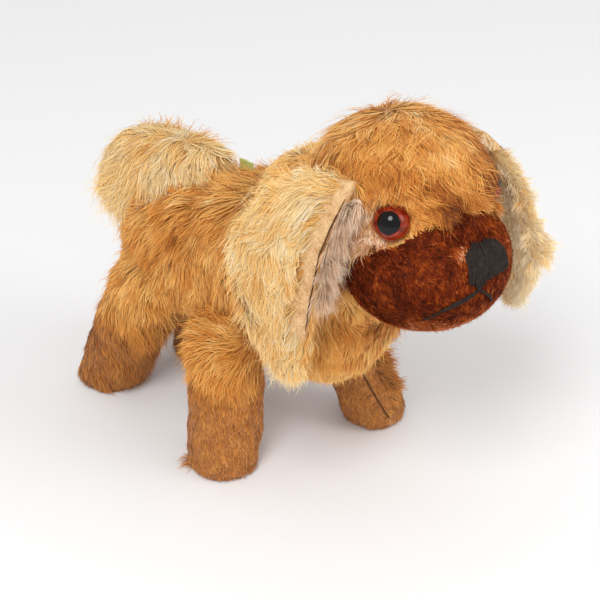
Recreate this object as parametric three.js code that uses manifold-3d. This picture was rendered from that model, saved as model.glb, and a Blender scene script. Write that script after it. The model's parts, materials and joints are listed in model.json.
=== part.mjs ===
// Stuffed mohair dog, standing on four sewn legs. Millimetres, +Z up, nose towards -Y, the dog's left on +X.
// A swivelling head on a disc joint, two loose flap ears and a tail sewn on at its root are the moving groups.
import * as THREE from 'three';
import { mergeVertices } from 'three/addons/utils/BufferGeometryUtils.js';
import Module from 'manifold-3d';

const wasm = await Module();
wasm.setup();

// ---- driving dimensions -------------------------------------------------------------------------------
const GAP = 0.3; // clearance between pieces that touch
const PILE_SKIN = 5; // backing and pressed pile of the long mohair
const LEG_SKIN = 3; // worn mohair of the legs
const FINE = 20; // facets round a big stuffed form
const SMALL = 12; // facets round a small piece

// stuffed forms of the body: centre and radii
const BODY_FORMS = [
  { at: [0, 46, 84], radii: [31, 57, 33] }, // belly and rump
  { at: [0, 12, 98], radii: [31, 42, 30] }, // back
  { at: [0, -16, 90], radii: [34, 36, 44] }, // chest
  { at: [0, -39, 118], radii: [31, 31, 31] }, // neck
  { at: [0, -17, 127], radii: [28, 28, 27] }, // nape
];
const GUSSET_HALF = 13; // half width of the belly gusset
const GUSSET_TOP = 70; // height where the gusset ends at chest and rump

// neck joint: the two flat faces that turn on each other, square to a tilted axis
const NECK = new THREE.Vector3(0, -48.9, 130.4);
const NECK_TILT = THREE.MathUtils.degToRad(39);
const NECK_DISC = { radius: 19, thick: 2.4, inset: 2.6 };
const WASHER = { radius: 7, thick: 1.1 };
const PIN_RADIUS = 1.6;
const PIN_BORE = 2.6;

// head: centre, the small turn to the dog's right, and its stuffed forms in head coordinates
const HEAD = new THREE.Vector3(0, -64, 149);
const HEAD_TURN = THREE.MathUtils.degToRad(-8);
const CRANIUM = { at: [0, 4, 1], radii: [35.5, 36, 36] };
const MUZZLE = { at: [0, -12, -20], radii: [35, 34, 28] };
const THROAT = 33; // radius round the neck joint that the muzzle leaves free
const FELT = 1.5; // thickness of the muzzle felt
const CROWN_HALF = 12; // half width of the strip over the crown
const EYE = { side: 26.5, front: -20, up: 7.8, radius: 7.2, pupil: 4.9, shank: 0.8 };
const NOSE = { up: -8.5, width: 15, height: 16, thick: 1.6 };

// ears: rows from the sewn edge to the tip, each the front and rear edge of the lining face (out, y, z);
// the right one hangs back along the cheek, the left one swings forward beside the muzzle
const EAR_ROWS = {
  right: [
    [[30.1, -7.5, 21.5], [32.9, 14.4, 17.5]],
    [[37.2, -5.5, 10], [44, 26, 8]],
    [[41, 0, -7], [51, 38, -8]],
    [[42, 3, -24], [54, 41, -24]],
    [[43, 5.5, -40], [53.5, 36, -40]],
    [[44, 8, -54], [51, 27, -54]],
    [[44.5, 11, -65], [47, 17, -66]],
  ],
  left: [
    [[30.1, -7.5, 21.5], [32.9, 14.4, 17.5]],
    [[40, -13, 9], [41.5, 16, 7]],
    [[45.5, -18, -7], [48, 15, -9]],
    [[49, -21, -22], [52, 12, -24]],
    [[51, -21.5, -36], [53, 8, -38]],
    [[51, -19, -48], [52.5, 2, -49]],
    [[50, -14, -57], [51, -6, -57]],
  ],
};
const EAR_LINING = 1.4;
const EAR_MOHAIR = 3;

// tail: the root ball in its dent in the rump, and the tip over the back
const TAIL_ROOT = new THREE.Vector3(0, 95, 108);
const TAIL_TIP = new THREE.Vector3(0, 50, 126.5);
const TAIL_RADII = [17.5, 5];
const TAIL_SKIN = 3.5;
const TAIL_DENT = 1.2; // clearance round the root ball

// legs: middle of the sole, middle of the shoulder or hip, and the radius at foot and top
const LEGS = {
  front_right: { foot: [-38, 9], top: [-32, 12, 62], radii: [15.4, 16.4], out: -1 },
  front_left: { foot: [40, -14], top: [22, -7, 58], radii: [14.2, 15.6], out: 1 },
  rear_right: { foot: [-27, 102], top: [-20, 70, 68], radii: [14.8, 19.5], out: -1 },
  rear_left: { foot: [21, 87], top: [18, 66, 66], radii: [14.2, 18.6], out: 1 },
};
const LEG_FACETS = 16;
const SOLE = { thick: 1.3, inset: 3.4 };
const INSOLE = { low: 1.6, high: 2.6 };
const TAG = { at: [6, 36, 126.5], size: [0.8, 8, 5] }; // scrap of ribbon caught in the back seam

// ---- materials ----------------------------------------------------------------------------------------
const material = (color, roughness, metalness = 0) =>
  new THREE.MeshStandardMaterial({ color, roughness, metalness });
const mohair = material(0xc68a4e, 0.95);
const paleMohair = material(0xe0b985, 0.95);
const wornMohair = material(0xb07a48, 0.95);
const felt = material(0x73341a, 0.9);
const thread = material(0x3a3430, 0.75);
const woodWool = material(0xcdb68a, 1);
const card = material(0x9a8468, 0.9);
const steel = material(0x8f8f8c, 0.4, 1);
const iris = material(0x6e2310, 0.08);
const pupilGlass = material(0x0c0a0a, 0.05);
const ribbon = material(0x8fa63f, 0.8);

// ---- solids -------------------------------------------------------------------------------------------
/** A closed geometry, moved by matrix, as a manifold solid. */
function solid(geometry, matrix = new THREE.Matrix4()) {
  const bare = geometry.clone().applyMatrix4(matrix);
  bare.deleteAttribute('normal');
  bare.deleteAttribute('uv');
  const merged = mergeVertices(bare, 1e-4);
  return new wasm.Manifold(new wasm.Mesh({
    numProp: 3,
    vertProperties: new Float32Array(merged.attributes.position.array),
    triVerts: new Uint32Array(merged.index.array),
  }));
}

/** A named mesh from a manifold solid. */
function piece(name, body, look) {
  const { vertProperties, triVerts } = body.getMesh();
  const geometry = new THREE.BufferGeometry();
  geometry.setAttribute('position', new THREE.BufferAttribute(vertProperties, 3));
  geometry.setIndex(new THREE.BufferAttribute(triVerts, 1));
  geometry.computeVertexNormals();
  const mesh = new THREE.Mesh(geometry, look);
  mesh.name = name;
  return mesh;
}

const union = (solids) => solids.reduce((a, b) => a.add(b));

/** An ellipsoid grown by grow on every radius. */
function ellipsoid({ at, radii }, grow = 0, facets = FINE) {
  const matrix = new THREE.Matrix4().makeTranslation(...at)
    .multiply(new THREE.Matrix4().makeScale(...radii.map((r) => r + grow)));
  return solid(new THREE.SphereGeometry(1, facets, facets / 2), matrix);
}

/** A box between two corners. */
function box(low, high) {
  const size = high.map((h, i) => h - low[i]);
  const middle = high.map((h, i) => (h + low[i]) / 2);
  return solid(new THREE.BoxGeometry(...size), new THREE.Matrix4().makeTranslation(...middle));
}

/** A cylinder along +Z from low to high. */
function rod(radius, low, high, facets = SMALL, matrix = new THREE.Matrix4()) {
  const stand = new THREE.Matrix4().makeTranslation(0, 0, (low + high) / 2)
    .multiply(new THREE.Matrix4().makeRotationX(Math.PI / 2));
  return solid(new THREE.CylinderGeometry(radius, radius, high - low, facets), matrix.clone().multiply(stand));
}

/** A turned solid about +Z from [radius, height] pairs that start and end on the axis. */
function turned(profile, facets = FINE, matrix = new THREE.Matrix4()) {
  const points = profile.map(([r, z]) => new THREE.Vector2(r, z));
  const stand = new THREE.Matrix4().makeRotationX(Math.PI / 2);
  return solid(new THREE.LatheGeometry(points, facets), matrix.clone().multiply(stand));
}

const REACH = 400;
const side = (sign, clear = GAP / 2) => (sign > 0
  ? box([clear, -REACH, -REACH], [REACH, REACH, REACH])
  : box([-REACH, -REACH, -REACH], [-clear, REACH, REACH]));

// neck coordinates: +Z along the joint axis, 0 in the middle of the gap between body and head
const neckMatrix = new THREE.Matrix4().makeTranslation(...NECK)
  .multiply(new THREE.Matrix4().makeRotationX(NECK_TILT));
const slab = (low, high, matrix) => solid(
  new THREE.BoxGeometry(REACH, REACH, high - low),
  matrix.clone().multiply(new THREE.Matrix4().makeTranslation(0, 0, (low + high) / 2)),
);

const dog = new THREE.Group();

// the tail's own coordinates: -Y runs from the root to the tip
const tailReach = TAIL_TIP.clone().sub(TAIL_ROOT);
const tailSlope = Math.atan2(tailReach.z, -tailReach.y);
const tailMatrix = new THREE.Matrix4().makeTranslation(...TAIL_ROOT)
  .multiply(new THREE.Matrix4().makeRotationX(-tailSlope));

/** The tail's stuffed drop, shrunk all round, with its ball end at the root. */
function teardrop(shrink, matrix = new THREE.Matrix4()) {
  const [rootRadius, tipRadius] = TAIL_RADII.map((r) => r - shrink);
  const length = tailReach.length() * 0.93;
  const profile = [];
  for (let i = 0; i <= 5; i += 1) {
    const a = -Math.PI / 2 + (i / 5) * Math.PI * 0.55;
    profile.push([Math.max(0, rootRadius * Math.cos(a)), rootRadius * Math.sin(a)]);
  }
  for (let i = 1; i <= 3; i += 1) {
    const t = i / 3;
    const radius = THREE.MathUtils.lerp(rootRadius * 0.98, tipRadius, t ** 1.25);
    profile.push([radius, rootRadius * 0.16 + t * length]);
  }
  profile.push([tipRadius * 0.6, length + rootRadius * 0.16 + tipRadius * 0.7]);
  profile.push([0, length + rootRadius * 0.16 + tipRadius]);
  return turned(profile, 16, matrix.clone().multiply(new THREE.Matrix4().makeRotationX(Math.PI / 2)));
}

// ---- body ---------------------------------------------------------------------------------------------
const bodyForm = (grow) => union(BODY_FORMS.map((form) => ellipsoid(form, grow)));
const dent = (grow) => teardrop(-TAIL_DENT - grow, tailMatrix);
const bodyOuter = bodyForm(0).subtract(slab(-GAP, REACH, neckMatrix)).subtract(dent(0));
const bodyInner = bodyForm(-PILE_SKIN).subtract(slab(-NECK_DISC.inset + GAP / 2, REACH, neckMatrix))
  .subtract(dent(PILE_SKIN / 2));
const pinHole = rod(PIN_BORE, -40, 40, SMALL, neckMatrix);
const bodySkin = bodyOuter.subtract(bodyInner).subtract(pinHole);
const belly = (clear) => box([-GUSSET_HALF - clear, -REACH, -REACH], [GUSSET_HALF + clear, REACH, GUSSET_TOP + clear]);

dog.add(piece('body_side_right', bodySkin.intersect(side(-1)).subtract(belly(GAP / 2)), mohair));
dog.add(piece('body_side_left', bodySkin.intersect(side(1)).subtract(belly(GAP / 2)), mohair));
dog.add(piece('belly_gusset', bodySkin.intersect(belly(-GAP / 2)), mohair));

const discLow = -NECK_DISC.inset - NECK_DISC.thick;
const washerLow = discLow - GAP - WASHER.thick;
const jointRoom = rod(NECK_DISC.radius + GAP, washerLow - 5, 0, FINE, neckMatrix);
const bodyCore = bodyForm(-PILE_SKIN - GAP).subtract(slab(-NECK_DISC.inset, REACH, neckMatrix))
  .subtract(dent(PILE_SKIN / 2 + GAP));
dog.add(piece('body_stuffing', bodyCore.subtract(jointRoom), woodWool));

/** One side of the disc joint: way is -1 inside the body, 1 inside the head. */
function neckSide(name, way, matrix) {
  const span = (a, b) => [Math.min(a * way, b * way), Math.max(a * way, b * way)];
  const { inset, thick, radius } = NECK_DISC;
  const bore = rod(PIN_BORE, -40, 40, SMALL, matrix);
  const disc = rod(radius, ...span(inset, inset + thick), FINE, matrix).subtract(bore);
  const washerAt = inset + thick + GAP;
  const washer = rod(WASHER.radius, ...span(washerAt, washerAt + WASHER.thick), SMALL, matrix).subtract(bore);
  return [piece(`neck_disc_${name}`, disc, card), piece(`neck_washer_${name}`, washer, steel)];
}
dog.add(...neckSide('body', -1, neckMatrix));

// split pin: one round shank with an eye in the body and two bent-over legs in the head
const pinEnd = NECK_DISC.inset + NECK_DISC.thick + GAP + WASHER.thick + GAP;
const pinTurn = pinEnd + PIN_RADIUS;
const pin = union([
  rod(PIN_RADIUS, -pinTurn, pinTurn + 0.6, 12, neckMatrix),
  ...[-1, 1].map((end) => solid(
    new THREE.CylinderGeometry(PIN_RADIUS, PIN_RADIUS, 10.5, 12),
    neckMatrix.clone().multiply(new THREE.Matrix4().makeTranslation(0, 0, pinTurn * end))
      .multiply(new THREE.Matrix4().makeRotationZ(Math.PI / 2)),
  )),
]);
dog.add(piece('neck_split_pin', pin, steel));

const tag = new THREE.Mesh(new THREE.BoxGeometry(...TAG.size), ribbon);
tag.name = 'back_seam_ribbon';
tag.position.set(...TAG.at);
dog.add(tag);

// ---- legs ---------------------------------------------------------------------------------------------
for (const [name, leg] of Object.entries(LEGS)) {
  const group = new THREE.Group();
  group.position.set(leg.foot[0], leg.foot[1], 0);
  const [rise, [footRadius, topRadius]] = [leg.top[2], leg.radii];
  const lean = new THREE.Matrix4().set(
    1, 0, (leg.top[0] - leg.foot[0]) / rise, 0,
    0, 1, (leg.top[1] - leg.foot[1]) / rise, 0,
    0, 0, 1, 0,
    0, 0, 0, 1,
  );
  const dome = (shrink, low) => {
    const r = (radius) => radius - shrink;
    const shoulder = [0.25, 0.5, 0.75, 0.94].map((t) => [
      r(topRadius) * Math.cos(t * Math.PI / 2), rise + r(topRadius) * 0.55 * Math.sin(t * Math.PI / 2)]);
    const foot = shrink ? [[r(footRadius), low]] : [[footRadius - 1.8, low], [footRadius - 0.5, low + 1.3]];
    return turned([[0, low], ...foot, [r(footRadius), low + 4], [r((footRadius + topRadius) / 2), rise * 0.55],
      [r(topRadius), rise], ...shoulder, [0, rise + r(topRadius) * 0.55]], LEG_FACETS, lean);
  };
  const intoBody = new THREE.Matrix4().makeTranslation(-leg.foot[0], -leg.foot[1], 0);
  const trunk = union(BODY_FORMS.map(({ at, radii }) => ellipsoid(
    { at: new THREE.Vector3(...at).applyMatrix4(intoBody).toArray(), radii }, GAP)));
  const outer = dome(0, GAP);
  const core = dome(LEG_SKIN, -1);
  const skin = outer.subtract(core).subtract(trunk);
  const half = (sign) => solid(new THREE.BoxGeometry(REACH, REACH, REACH),
    lean.clone().multiply(new THREE.Matrix4().makeTranslation(sign * (REACH + GAP) / 2, 0, 0)));
  group.add(piece(`leg_${name}_outer`, skin.intersect(half(leg.out)), wornMohair));
  group.add(piece(`leg_${name}_inner`, skin.intersect(half(-leg.out)), wornMohair));
  const stuffing = dome(LEG_SKIN + GAP, INSOLE.high + GAP).subtract(trunk);
  group.add(piece(`leg_${name}_stuffing`, stuffing, woodWool));
  const soleRadius = footRadius - SOLE.inset;
  group.add(piece(`leg_${name}_sole`, rod(soleRadius, 0, SOLE.thick, LEG_FACETS, lean), wornMohair));
  group.add(piece(`leg_${name}_insole`, rod(soleRadius, INSOLE.low, INSOLE.high, LEG_FACETS, lean), card));
  dog.add(group);
}

// ---- tail ---------------------------------------------------------------------------------------------
{
  const group = new THREE.Group();
  group.position.copy(TAIL_ROOT);
  group.rotation.x = -tailSlope;
  const skin = teardrop(0).subtract(teardrop(TAIL_SKIN));
  const half = (sign) => box(
    [-REACH, -REACH, sign > 0 ? GAP / 2 : -REACH],
    [REACH, REACH, sign > 0 ? REACH : -GAP / 2],
  );
  group.add(piece('tail_upper', skin.intersect(half(1)), paleMohair));
  group.add(piece('tail_under', skin.intersect(half(-1)), paleMohair));
  group.add(piece('tail_stuffing', teardrop(TAIL_SKIN + GAP), woodWool));
  dog.add(group);
}

// ---- head ---------------------------------------------------------------------------------------------
const head = new THREE.Group();
head.position.copy(HEAD);
head.rotation.z = HEAD_TURN;
head.updateMatrix();
const neckInHead = head.matrix.clone().invert().multiply(neckMatrix);
const belowNeck = (clear) => slab(-REACH, clear, neckInHead);
const throat = (clear) => rod(THROAT + clear, -REACH / 2, clear, FINE, neckInHead);

const cranium = (grow) => ellipsoid(CRANIUM, grow);
const muzzle = (grow) => ellipsoid(MUZZLE, grow);
const headPinHole = rod(PIN_BORE, -40, 40, SMALL, neckInHead);

/** The round seat of one glass eye, grown by clear, at side -1 or 1. */
function eyeball(sign, clear = 0) {
  const out = new THREE.Vector3(EYE.side * sign, EYE.front, EYE.up);
  const centre = out.clone().setLength(out.length() - EYE.radius * 0.45);
  const aim = new THREE.Matrix4().compose(centre,
    new THREE.Quaternion().setFromUnitVectors(new THREE.Vector3(0, 0, 1), out.normalize()),
    new THREE.Vector3(1, 1, 1));
  return { aim, ball: ellipsoid({ at: centre.toArray(), radii: [0, 0, 0] }, EYE.radius + clear, 16) };
}
const shank = (sign, clear = 0) => rod(EYE.shank + clear, -EYE.radius - 9 - clear, -EYE.radius - GAP + clear * 2, 8,
  eyeball(sign).aim);
const sockets = (clear) => union([-1, 1].map((sign) => eyeball(sign, clear).ball));

const headSkin = cranium(0).subtract(cranium(-PILE_SKIN).subtract(belowNeck(NECK_DISC.inset - GAP / 2)))
  .subtract(muzzle(GAP)).subtract(belowNeck(GAP)).subtract(sockets(GAP)).subtract(headPinHole);
const crown = (clear) => box([-CROWN_HALF - clear, -REACH, clear < 0 ? GAP / 2 : 0],
  [CROWN_HALF + clear, REACH, REACH]);
head.add(piece('head_gusset', headSkin.intersect(crown(-GAP / 2)), mohair));
for (const [name, sign] of [['right', -1], ['left', 1]]) {
  head.add(piece(`head_side_${name}`, headSkin.intersect(side(sign)).subtract(crown(GAP / 2)), mohair));
}
const headRoom = rod(NECK_DISC.radius + GAP, 0, -washerLow + 5, FINE, neckInHead);
const headCore = cranium(-PILE_SKIN - GAP).subtract(belowNeck(NECK_DISC.inset))
  .add(muzzle(-FELT - GAP).subtract(throat(NECK_DISC.inset)))
  .subtract(headRoom).subtract(sockets(GAP)).subtract(shank(-1, GAP)).subtract(shank(1, GAP));
head.add(piece('head_stuffing', headCore, woodWool));
const muzzleSkin = muzzle(0).subtract(muzzle(-FELT)).subtract(cranium(GAP)).subtract(throat(GAP))
  .subtract(sockets(GAP));
head.add(piece('muzzle_felt', muzzleSkin, felt));
head.add(...neckSide('head', 1, neckInHead));

/** A patch that lies on the muzzle: outline in X and Z, seen from the front, between two offsets. */
function patch(outline, low, high) {
  const shape = new THREE.Shape(outline.map(([x, z]) => new THREE.Vector2(x, z)));
  const prism = new THREE.ExtrudeGeometry(shape, { depth: 60, bevelEnabled: false });
  const cut = solid(prism, new THREE.Matrix4().makeRotationX(Math.PI / 2));
  return muzzle(high).subtract(muzzle(low)).intersect(cut).subtract(cranium(GAP));
}
const { width, height, up } = NOSE;
const noseOutline = [[-0.5, 0.32], [-0.34, 0.5], [0.34, 0.5], [0.5, 0.32], [0.46, -0.1], [0.16, -0.5], [-0.16, -0.5],
  [-0.46, -0.1]].map(([x, z]) => [x * width, up + z * height]);
head.add(piece('nose_embroidery', patch(noseOutline, GAP, NOSE.thick), thread));
const lip = up - height / 2 - 0.4;
const mouthOutline = [[-0.8, lip], [-0.8, lip - 4.5], [-13, lip - 9], [-12.4, lip - 10.6], [0, lip - 6.4],
  [12.4, lip - 10.6], [13, lip - 9], [0.8, lip - 4.5], [0.8, lip]];
head.add(piece('mouth_stitches', patch(mouthOutline, GAP, 1), thread));

for (const [name, sign] of [['right', -1], ['left', 1]]) {
  const { aim, ball } = eyeball(sign);
  const rim = Math.sqrt(EYE.radius ** 2 - EYE.pupil ** 2);
  head.add(piece(`eye_${name}_iris`, ball.subtract(rod(EYE.pupil + GAP / 2, rim - 1.2, 20, SMALL, aim)), iris));
  head.add(piece(`eye_${name}_pupil`, ball.intersect(rod(EYE.pupil, rim - 1.2 + GAP, 20, SMALL, aim)), pupilGlass));
  head.add(piece(`eye_${name}_shank`, shank(sign), steel));
}

// ---- ears ---------------------------------------------------------------------------------------------
const EAR_SIDES = 3;
const EAR_STEPS = 2;
/** One layer of an ear: the plate between two offsets outward from the lining face. */
function earLayer(edges, sign, low, high) {
  const plate = new THREE.BoxGeometry(1, 1, 1, EAR_SIDES, (edges.length - 1) * EAR_STEPS, 1);
  const position = plate.attributes.position;
  const rows = edges.map((row) => row.map(([out, y, z]) => new THREE.Vector3(-out, y, z)));
  const front = new THREE.CatmullRomCurve3(rows.map(([a]) => a));
  const rear = new THREE.CatmullRomCurve3(rows.map(([, b]) => b));
  for (let i = 0; i < position.count; i += 1) {
    const along = 0.5 - position.getY(i);
    const across = 0.5 + position.getX(i);
    const [a, b] = [front.getPoint(along), rear.getPoint(along)];
    const down = front.getTangent(along);
    const outward = new THREE.Vector3().subVectors(b, a).cross(down).normalize();
    const point = a.lerp(b, across).addScaledVector(outward, position.getZ(i) > 0 ? high : low);
    position.setXYZ(i, sign < 0 ? point.x : -point.x, point.y, point.z);
  }
  if (sign < 0) {
    const index = plate.index.array;
    for (let i = 0; i < index.length; i += 3) [index[i], index[i + 1]] = [index[i + 1], index[i]];
  }
  return solid(plate);
}
for (const [name, sign] of [['right', -1], ['left', 1]]) {
  const layer = (low, high) => earLayer(EAR_ROWS[name], sign, low, high);
  head.add(piece(`ear_${name}_lining`, layer(0, EAR_LINING), paleMohair));
  head.add(piece(`ear_${name}_mohair`, layer(EAR_LINING + GAP, EAR_LINING + GAP + EAR_MOHAIR), paleMohair));
}
dog.add(head);

// the origin is the ground point under the middle of the whole dog
dog.updateMatrixWorld(true);
const whole = new THREE.Box3().setFromObject(dog, true);
dog.position.set(-(whole.min.x + whole.max.x) / 2, -(whole.min.y + whole.max.y) / 2, -whole.min.z);

export default dog;
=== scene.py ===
"""A standing stuffed dog in golden mohair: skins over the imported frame, pile, glass eyes, felt muzzle.

Throughout, p and n are points and normals in the dog's own coordinates in mm; h and hn are the same in
head coordinates.
"""
import json
import math

import bmesh
import bpy
import numpy as np
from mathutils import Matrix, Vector, kdtree


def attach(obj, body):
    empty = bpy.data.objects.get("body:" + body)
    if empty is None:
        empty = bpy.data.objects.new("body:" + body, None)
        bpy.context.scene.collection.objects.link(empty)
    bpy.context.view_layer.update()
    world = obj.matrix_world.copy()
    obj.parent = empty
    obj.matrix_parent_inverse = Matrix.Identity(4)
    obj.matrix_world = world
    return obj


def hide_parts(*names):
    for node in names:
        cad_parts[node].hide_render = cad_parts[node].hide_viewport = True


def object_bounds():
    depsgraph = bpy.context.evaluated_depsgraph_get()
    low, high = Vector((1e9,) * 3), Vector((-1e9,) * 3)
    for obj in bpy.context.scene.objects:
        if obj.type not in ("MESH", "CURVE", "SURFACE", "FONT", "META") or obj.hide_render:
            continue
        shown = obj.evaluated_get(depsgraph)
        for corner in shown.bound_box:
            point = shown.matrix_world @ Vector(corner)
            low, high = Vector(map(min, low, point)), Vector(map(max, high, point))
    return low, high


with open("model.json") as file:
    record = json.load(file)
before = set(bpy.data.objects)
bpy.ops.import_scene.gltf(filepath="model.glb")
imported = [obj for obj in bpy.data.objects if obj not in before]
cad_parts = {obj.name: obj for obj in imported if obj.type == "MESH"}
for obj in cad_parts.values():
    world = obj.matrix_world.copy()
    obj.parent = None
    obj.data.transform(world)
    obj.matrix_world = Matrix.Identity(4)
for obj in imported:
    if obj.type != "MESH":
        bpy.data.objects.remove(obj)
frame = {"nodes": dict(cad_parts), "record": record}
cad_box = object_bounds()

MM = 0.001
JOINTS = {j["name"]: j for j in frame["record"]["behaviour"]["joints"]}
BODIES = frame["record"]["behaviour"]["bodies"]
SIDES = (("right", -1), ("left", 1))  # each side of the dog and the sign of x there
# the dog's own coordinates in mm: x 0 on its middle, y 0 between the front feet, z 0 on the ground
NECK = np.array([0.0, -48.9, 130.4])
SHIFT = np.array(JOINTS["head_swivel"]["pos_m"]) / MM - NECK
HEAD = np.array([0.0, -64.0, 149.0])
HEAD_TURN = math.radians(-8)
# in head coordinates: the stuffed forms and the eyes
CRANIUM, CRANIUM_R = np.array([0.0, 4.0, 1.0]), np.array([35.5, 36.0, 36.0])
MUZZLE, MUZZLE_R = np.array([0.0, -12.0, -20.0]), np.array([35.0, 34.0, 28.0])
CRANIUM_SIZE, MUZZLE_SIZE = 36, 32  # round mean radii, which turn a share of a form's radius into mm
EYE_OUT = np.array([26.5, -20.0, 7.8])
EYE_R = 7.2
# middle of the sole (x, y) and of the shoulder or hip (x, y, z)
LEGS = {"front_right": ((-38, 9), (-32, 12, 62)), "front_left": ((40, -14), (22, -7, 58)),
        "rear_right": ((-27, 102), (-20, 70, 68)), "rear_left": ((21, 87), (18, 66, 66))}
TAIL = np.array([[0.0, 95.0, 108.0], [0.0, 50.0, 126.5]])  # root and tip
TORN_RIM = (-46, 17.5, 1)  # where the pile is torn at the right front foot
DOWN, REAR, OUT = np.array([0, 0, -1.0]), np.array([0, 1.0, 0]), np.array([1.0, 0, 0])
VOXEL, EAR_VOXEL = 1.8 * MM, 1.3 * MM
BODY_ROUNDS, FORM_ROUNDS = 70, 6  # rounds of smoothing for the body and for the smaller forms
# strands scattered before the bare places are left out
BODY_HAIRS, LEG_HAIRS, HEAD_HAIRS, NAP_HAIRS = 36000, 44000, 36000, 30000
EAR_HAIRS, FRINGE_HAIRS, TAIL_HAIRS, TUFT_HAIRS = 24000, 9000, 24000, 110
NOSE_STITCHES = 34
FACE_THREAD_R, LEG_THREAD_R, EAR_THREAD_R = 0.5, 0.4, 0.3
NECK_BARE = 25  # radius round the neck joint that stays without hair
EYE_BARE = 0.6  # and how far from an eye's glass it starts
FLOOR_CLEAR = 0.5  # no strand hangs lower than this, in mm
FUR_REACH = 12.0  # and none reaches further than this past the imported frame's box
ROOM_LOW, ROOM_HIGH = np.array(cad_box) / MM - SHIFT + [[-FUR_REACH] * 3, [FUR_REACH] * 3]
ROOM_LOW[2] = FLOOR_CLEAR
rng = np.random.default_rng(7)


# ---- vectors ------------------------------------------------------------------------------------------
def unit(v):
    return v / np.maximum(np.linalg.norm(v, axis=-1, keepdims=True), 1e-9)


def turn_z(v, angle):
    c, s = math.cos(angle), math.sin(angle)
    return np.stack([v[..., 0] * c - v[..., 1] * s, v[..., 0] * s + v[..., 1] * c, v[..., 2]], -1)


def to_head(p):
    """Dog coordinates to head coordinates."""
    return turn_z(p - HEAD, -HEAD_TURN)


def from_head(p):
    return turn_z(np.asarray(p, float), HEAD_TURN) + HEAD


def turned(v):
    """Head directions to dog directions."""
    return turn_z(v, HEAD_TURN)


def unturned(v):
    return turn_z(v, -HEAD_TURN)


def ramp(x, start, end):
    """0 up to start, 1 from end on, smooth between; it falls with x where end is below start."""
    t = np.clip((x - start) / (end - start), 0, 1)
    return t * t * (3 - 2 * t)


def wave(p, size, seed):
    """Smooth noise from -1 to 1 over points in mm, with features about size mm across."""
    r = np.random.default_rng(seed)
    total = np.zeros(len(p))
    for octave in range(2):
        for _ in range(5):
            k = unit(r.normal(size=3)) * 2 * math.pi / size * 2 ** octave * r.uniform(0.6, 1.2)
            total += np.sin(p @ k + r.uniform(0, 6.28)) / (1 + octave)
    return np.clip(total / 3.2, -1, 1)


def swirl(p, size, seed, amount):
    """Smooth noise as a direction."""
    return np.stack([wave(p, size, seed), wave(p, size, seed + 1), wave(p, size, seed + 2)], 1) * amount


# ---- materials ----------------------------------------------------------------------------------------
# sockets of the Mix node: its factor, then the inputs and the result for numbers and for colours
MIX_FACTOR, FLOAT_A, FLOAT_B, FLOAT_OUT, COLOUR_A, COLOUR_B, COLOUR_OUT = 0, 2, 3, 0, 6, 7, 2
SHEEN_ROUGHNESS = 0.5
BUMP_DEPTH = 0.6 * MM


def nodes_of(name, roughness=0.8, specular=0.3, sheen=0.0, metallic=0.0):
    """A new material with its node tree and its shader."""
    mat = bpy.data.materials.new(name)
    mat.use_nodes = True
    tree = mat.node_tree
    shader = tree.nodes["Principled BSDF"]
    shader.inputs["Roughness"].default_value = roughness
    shader.inputs["Specular IOR Level"].default_value = specular
    shader.inputs["Sheen Weight"].default_value = sheen
    shader.inputs["Sheen Roughness"].default_value = SHEEN_ROUGHNESS
    shader.inputs["Metallic"].default_value = metallic
    return mat, tree, shader


def node(tree, kind, **values):
    """A new node; each value goes to the input of that name or, without one, to the node's own setting."""
    n = tree.nodes.new(kind)
    for key, value in values.items():
        if key in n.inputs.keys():
            n.inputs[key].default_value = value
        else:
            setattr(n, key, value)
    return n


def srgb(*channels):
    """An sRGB colour of 0 to 255 as linear light."""
    shares = [v / 255 for v in channels]
    return tuple(v / 12.92 if v <= 0.04045 else ((v + 0.055) / 1.055) ** 2.4 for v in shares) + (1.0,)


def color_ramp(tree, stops, source):
    """Colours along a value, from (place, sRGB colour) pairs."""
    n = tree.nodes.new("ShaderNodeValToRGB")
    elements = n.color_ramp.elements
    while len(elements) > 1:
        elements.remove(elements[-1])
    elements[0].position, elements[0].color = stops[0][0], srgb(*stops[0][1])
    for at, colour in stops[1:]:
        elements.new(at).color = srgb(*colour)
    tree.links.new(source, n.inputs["Fac"])
    return n.outputs["Color"]


# tones of the strands, dark to light
MOHAIR_TONES = [(0.0, (104, 46, 12)), (0.2, (172, 94, 30)), (0.4, (228, 150, 64)), (0.6, (250, 192, 104)),
                (0.8, (255, 224, 158)), (1.0, (255, 242, 212))]
WORN_TONES = [(0.0, (94, 44, 14)), (0.25, (154, 94, 44)), (0.5, (222, 152, 84)), (0.75, (246, 200, 136)),
              (1.0, (255, 236, 208))]
ROSY_TONES = [(0.0, (84, 44, 24)), (0.25, (146, 88, 54)), (0.5, (212, 152, 106)), (0.75, (244, 206, 166)),
              (1.0, (255, 238, 218))]
FELT_TONES = [(0.0, (58, 18, 4)), (0.3, (118, 42, 12)), (0.6, (186, 88, 28)), (0.85, (226, 146, 92)),
              (1.0, (246, 206, 176))]


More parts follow.
